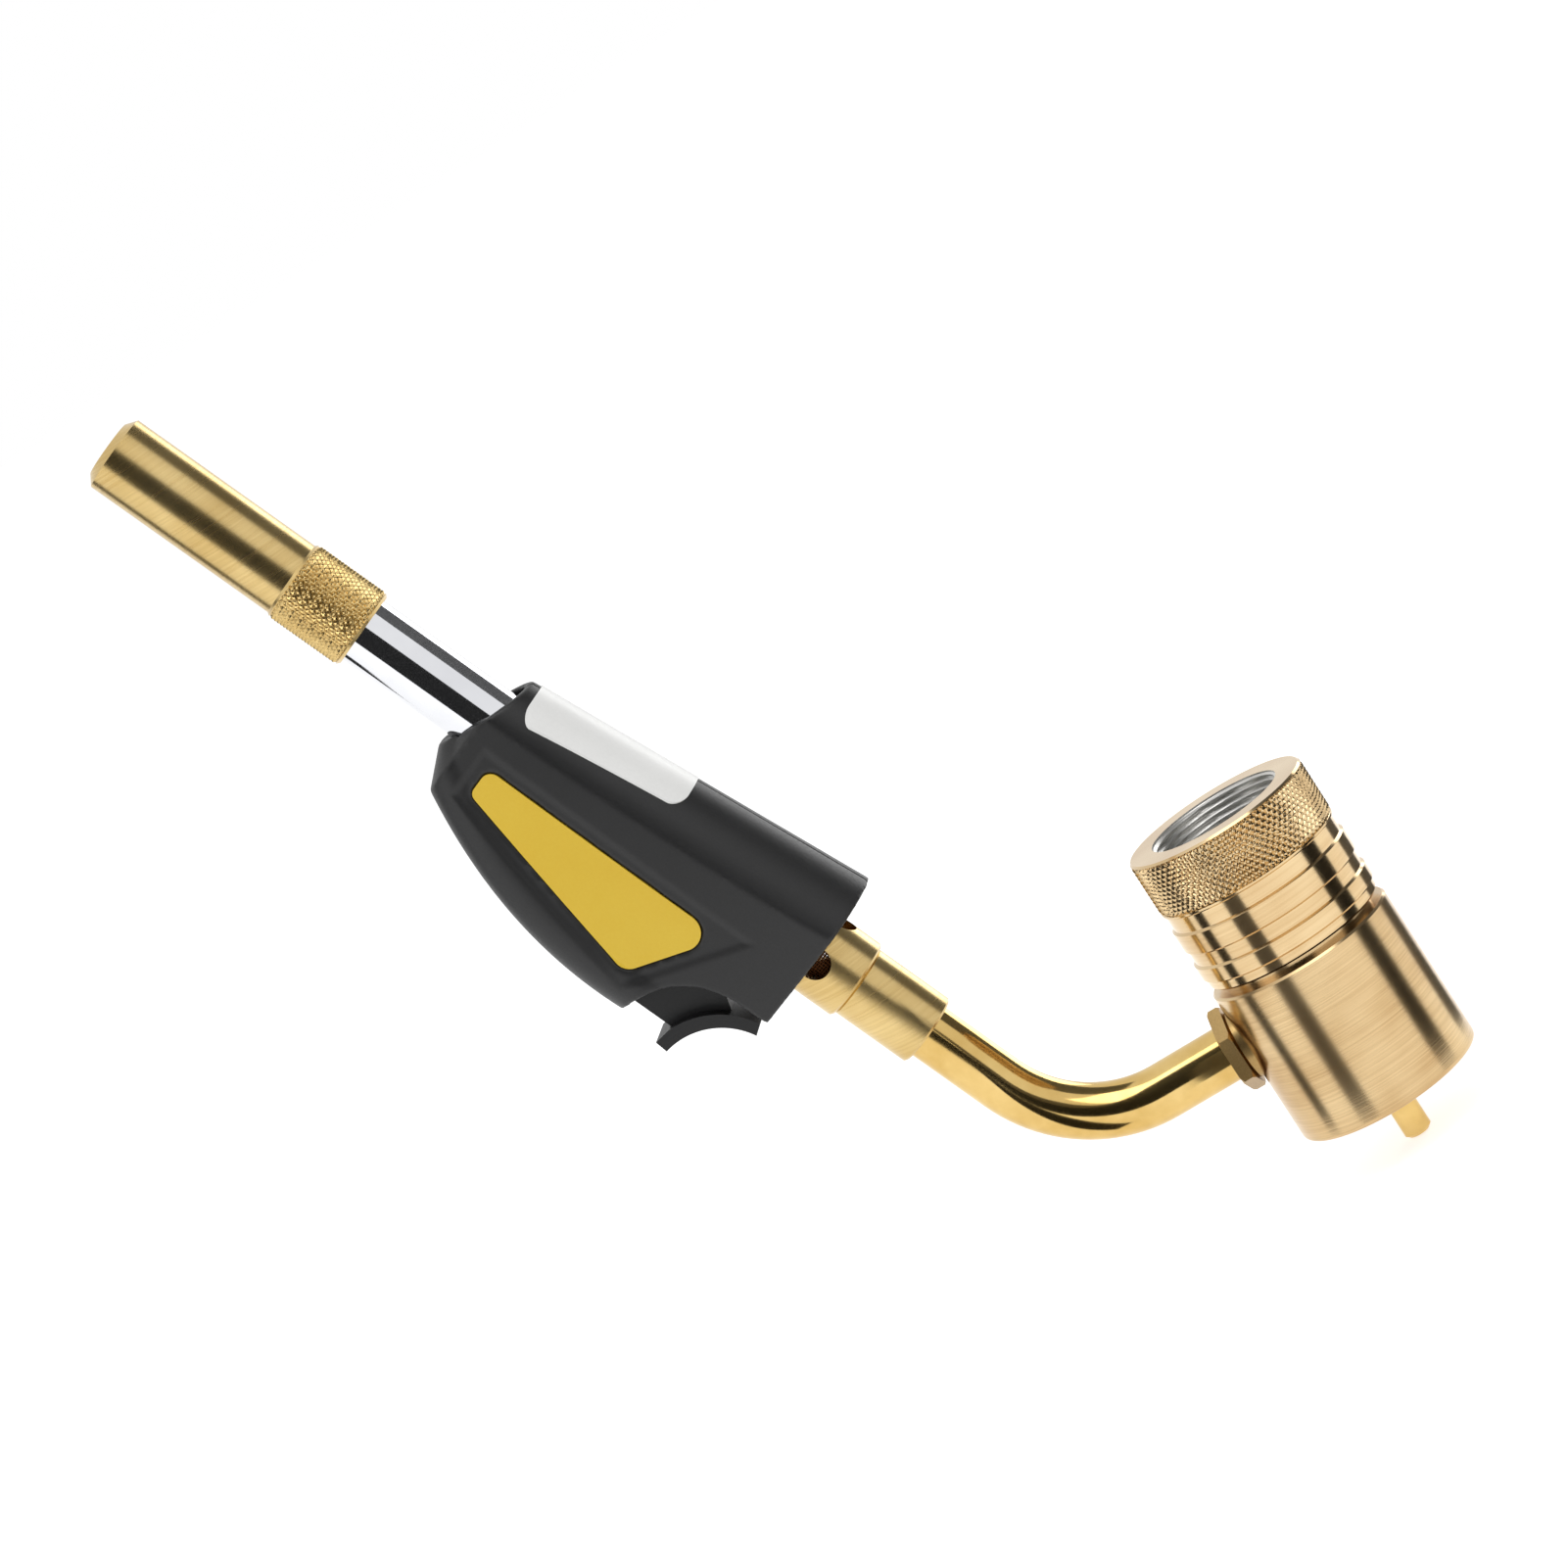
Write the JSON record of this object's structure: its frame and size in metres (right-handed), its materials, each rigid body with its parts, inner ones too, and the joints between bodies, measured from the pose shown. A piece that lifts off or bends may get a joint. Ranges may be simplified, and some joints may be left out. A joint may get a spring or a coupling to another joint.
{
  "type": "propane torch",
  "caption": "Hand torch head with tank coupling, pressure regulator, bent gas tube, trigger igniter and burner.",
  "frame": {"origin": "centre of the tank thread's mouth, in the face of the knurled ring", "axes": "+Z out of the mouth towards the tank; the gas tube leaves along -X; the burner lies in the XZ plane"},
  "size_m": [0.1539, 0.0354, 0.229],
  "materials": {
    "rose_brass": "polished champagne brass",
    "satin_brass": "satin",
    "polished_brass": "polished",
    "turned_brass": "as turned",
    "chrome": "mirror",
    "steel": "plain",
    "black_plastic": "fine matt moulded",
    "yellow_inlay": "satin printed film, left bare",
    "white_label": "satin printed film, left bare",
    "rubber": "moulded",
    "ceramic": "fired alumina",
    "white_plastic": "moulded",
    "red_sleeve": "wire insulation",
    "bronze": "woven bronze wire, darkened"
  },
  "bodies": {
    "coupling": {"inlet_coupling": "rose_brass"},
    "torch": {"inlet_nipple": "turned_brass", "inlet_seal": "rubber", "inlet_filter": "bronze", "swivel_o_ring": "rubber", "regulator_body": "rose_brass", "valve_seat": "turned_brass", "poppet_spring": "steel", "diaphragm": "rubber", "regulator_spring": "steel", "regulator_cap": "rose_brass", "spindle_o_ring": "rubber", "lock_nut": "turned_brass", "outlet_collar": "turned_brass", "bent_tube": "polished_brass", "jet_holder": "satin_brass", "gauze_screen": "bronze", "gas_jet": "turned_brass", "flame_tube": "chrome", "burner_tip": "satin_brass", "flame_holder": "turned_brass", "electrode_insulator": "ceramic", "electrode": "steel", "ignition_lead": "red_sleeve", "housing_screws": "steel", "top_sticker": "white_label", "piezo_igniter": "white_plastic", "trigger_spring": "steel", "housing_near": "black_plastic", "housing_far": "black_plastic", "side_inlay_near": "yellow_inlay", "side_inlay_far": "yellow_inlay"},
    "trigger": {"trigger": "black_plastic", "piezo_plunger": "white_plastic"},
    "spindle": {"control_spindle": "polished_brass", "spindle_clip": "steel"},
    "spring_seat": {"spring_seat": "steel"},
    "valve": {"valve_poppet": "turned_brass", "diaphragm_plate": "steel"}
  },
  "joints": [
    {"name": "coupling_swivel", "type": "hinge", "parent": "coupling", "child": "torch", "pos_m": [0, 0, -0.02], "axis": [0, 0, 1], "continuous": true},
    {"name": "trigger_slide", "type": "slide", "parent": "torch", "child": "trigger", "axis": [-0.368, 0, 0.9298], "range_m": [0, 0.006], "stiffness_N_per_m": 900, "springref_m": -0.003, "deforming": ["trigger_spring"]},
    {"name": "spindle_turn", "type": "hinge", "parent": "torch", "child": "spindle", "pos_m": [0, 0, -0.06], "axis": [0, 0, 1], "range_deg": [0, 270], "deforming": ["regulator_spring"]},
    {"name": "spring_seat_climb", "type": "slide", "parent": "torch", "child": "spring_seat", "axis": [0, 0, 1], "range_m": [0, 0.0015]},
    {"name": "valve_lift", "type": "slide", "parent": "torch", "child": "valve", "axis": [0, 0, 1], "range_m": [0, 0.0006], "stiffness_N_per_m": 2000, "springref_m": -0.002, "deforming": ["diaphragm", "poppet_spring"]}
  ],
  "couplings": [
    {"joint": "spindle_turn", "follows": "spring_seat_climb", "rad_per_m": 3141.6}
  ]
}
